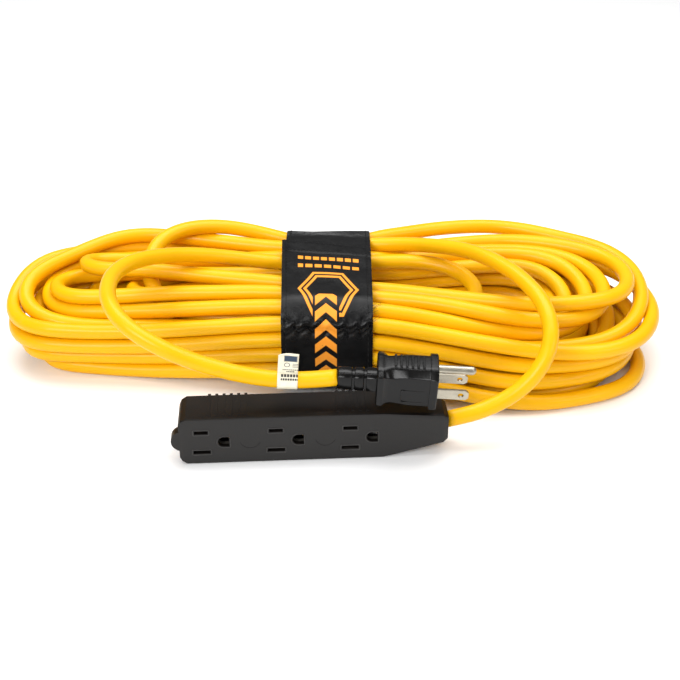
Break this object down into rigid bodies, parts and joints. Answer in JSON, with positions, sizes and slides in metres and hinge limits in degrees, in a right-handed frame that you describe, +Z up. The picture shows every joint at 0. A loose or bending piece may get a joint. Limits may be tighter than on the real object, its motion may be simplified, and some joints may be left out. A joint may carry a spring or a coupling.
{
  "type": "shore power cord",
  "caption": "Tied hank of heavy outdoor power cord with a grounded plug, an in-line tap with a row of outlets and a hook-and-loop storage strap.",
  "frame": {"origin": "middle of the object's box, on the surface it lies on", "axes": "+X along the hank towards the plug's blades, +Y away from the outlets, +Z up"},
  "size_m": [0.401, 0.2042, 0.0849],
  "materials": {
    "jacket": "satin extruded vinyl cord jacket, bright yellow",
    "housing": "fine-grained black vinyl moulding",
    "insulator": "moulded thermoset insulator",
    "plated": "nickel plated brass, lightly brushed",
    "brass": "stamped spring brass",
    "black_wire": "vinyl insulation",
    "white_wire": "vinyl insulation",
    "green_wire": "vinyl insulation",
    "webbing": "coated black webbing with plain orange print",
    "hook_loop": "black hook-and-loop tape",
    "label": "cream coated paper label"
  },
  "bodies": {
    "cord_set": {"tap_overmould": "housing", "tap_front_insulator": "insulator", "tap_rear_insulator": "insulator", "hot_bus_bar": "brass", "neutral_bus_bar": "brass", "ground_bus_bar": "brass", "tap_hot_wire": "black_wire", "tap_neutral_wire": "white_wire", "tap_ground_wire": "green_wire", "plug_overmould": "housing", "plug_bridge": "insulator", "hot_blade": "plated", "neutral_blade": "plated", "ground_pin": "plated", "plug_hot_wire": "black_wire", "plug_neutral_wire": "white_wire", "plug_ground_wire": "green_wire", "cord_hank": "jacket", "cord_plug_run": "jacket", "cord_tap_run": "jacket", "strap_band": "webbing", "strap_loop_patch": "hook_loop", "cord_tag": "label"},
    "strap_end": {"strap_tail": "webbing", "strap_hook_patch": "hook_loop"}
  },
  "joints": [
    {"name": "strap_tail_peel", "type": "hinge", "parent": "cord_set", "child": "strap_end", "pos_m": [0.0035, -0.02337, 0.0618], "axis": [1, 0, 0], "range_deg": [0, 120]}
  ]
}
